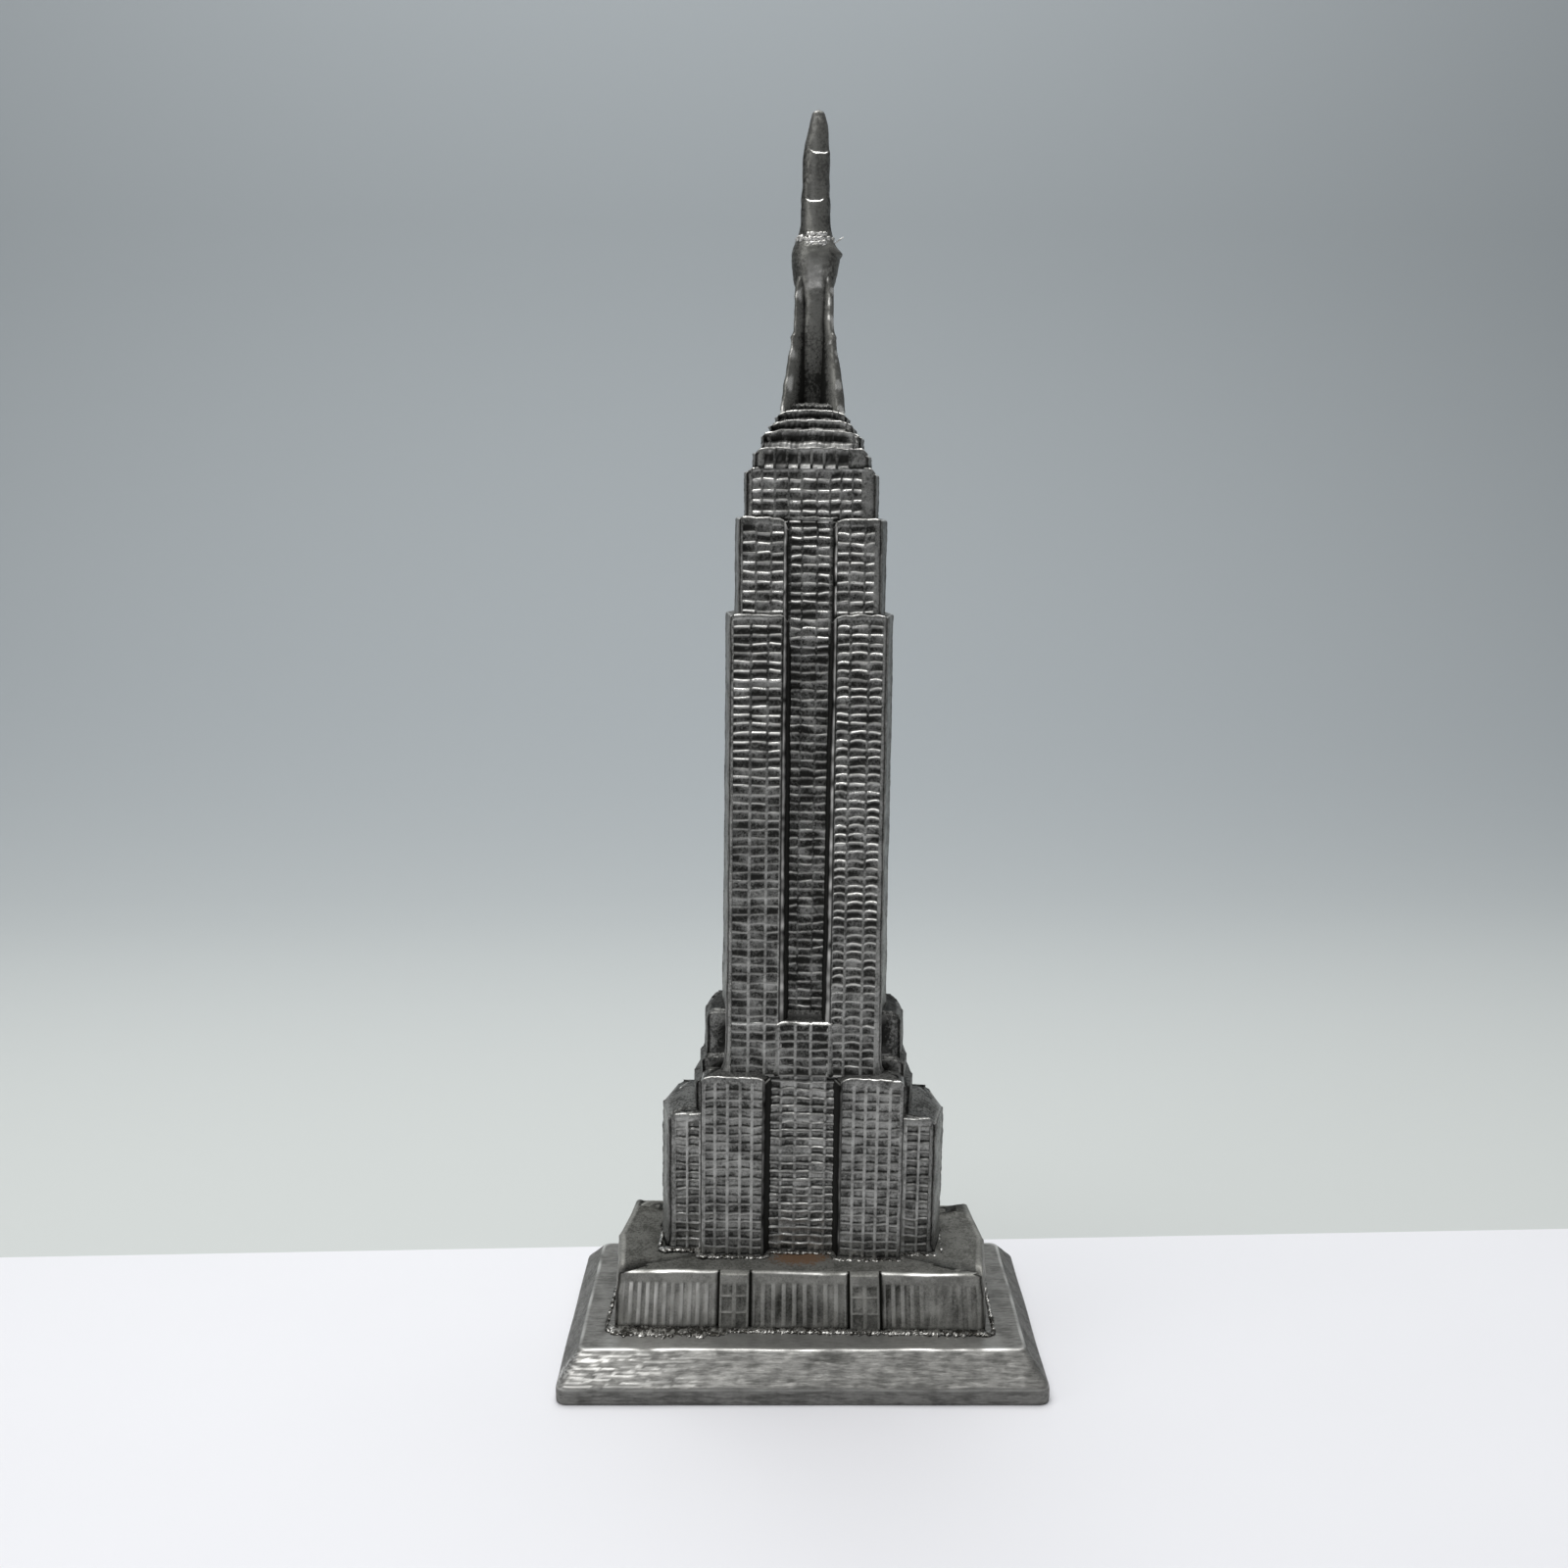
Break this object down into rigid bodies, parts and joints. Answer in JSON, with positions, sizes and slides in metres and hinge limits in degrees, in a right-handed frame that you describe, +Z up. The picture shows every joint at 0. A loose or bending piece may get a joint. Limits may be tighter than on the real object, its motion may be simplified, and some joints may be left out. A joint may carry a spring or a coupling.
{
  "type": "miniature landmark model",
  "caption": "Cast-metal souvenir skyscraper with stepped shoulders, a ribbed podium, a finned mast and spire, on a bevelled plinth.",
  "frame": {"origin": "centre of the underside of the plinth, on the surface that it stands on", "axes": "+Z up along the tower, -Y out of the broad front with the recessed bay, +X to the right seen from the front"},
  "size_m": [0.0726, 0.0426, 0.1841],
  "materials": {
    "plinth_metal": "antiqued pewter, hammered bevel, satin",
    "podium_metal": "antiqued pewter, dark in the ribs, satin",
    "tower_metal": "antiqued pewter, black in the engraved lines, bright on the edges",
    "mast_metal": "antiqued pewter, smoother, with bright wear",
    "solder": "rough lumpy tin solder",
    "steel": "plain zinc-plated steel",
    "card": "grey-brown pressed card",
    "felt": "dark green felt"
  },
  "bodies": {
    "root": {"plinth": "plinth_metal", "podium": "podium_metal", "setback_block": "tower_metal", "tower_shaft": "tower_metal", "crown_block": "tower_metal", "mooring_mast": "mast_metal", "mast_fin_front_left": "mast_metal", "mast_fin_front_right": "mast_metal", "mast_fin_rear_left": "mast_metal", "mast_fin_rear_right": "mast_metal", "spire": "mast_metal", "spire_solder": "solder", "tower_foot_solder": "solder", "podium_foot_solder": "solder", "tie_rod": "steel", "rod_nut": "steel", "rod_washer": "steel", "locating_pins": "steel", "bottom_card": "card", "felt_pad": "felt"}
  },
  "joints": []
}
